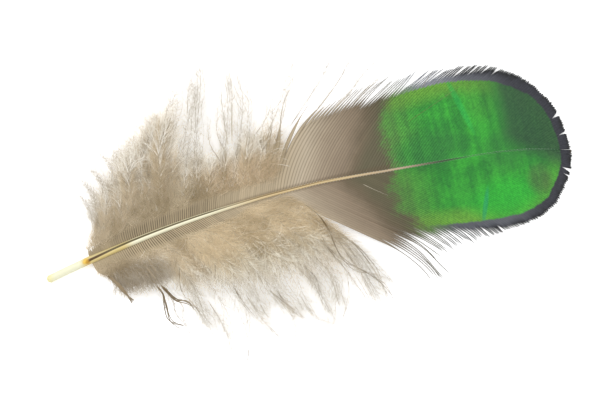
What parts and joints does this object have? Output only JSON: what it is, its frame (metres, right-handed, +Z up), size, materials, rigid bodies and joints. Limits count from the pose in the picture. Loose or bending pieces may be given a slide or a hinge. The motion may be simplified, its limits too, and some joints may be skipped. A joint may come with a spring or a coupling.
{
  "type": "feather",
  "caption": "Loose contour feather with a bare pale quill, fluffy grey-brown down at its base and a closed iridescent green tip with a dark edge.",
  "frame": {"origin": "centre of the box around the feather, on the surface that it lies on", "axes": "+X from the end of the quill towards the green tip, +Y towards the vane that is above the shaft in the picture, +Z up from the surface"},
  "size_m": [0.0752, 0.042, 0.0047],
  "materials": {
    "vane": "fine ribbed barbs, brown turning to iridescent green with a blue-black edge",
    "down": "soft loose grey-brown down",
    "shaft": "smooth satin horn, cream turning to golden brown"
  },
  "bodies": {
    "root": {"feather": "vane"}
  },
  "joints": []
}
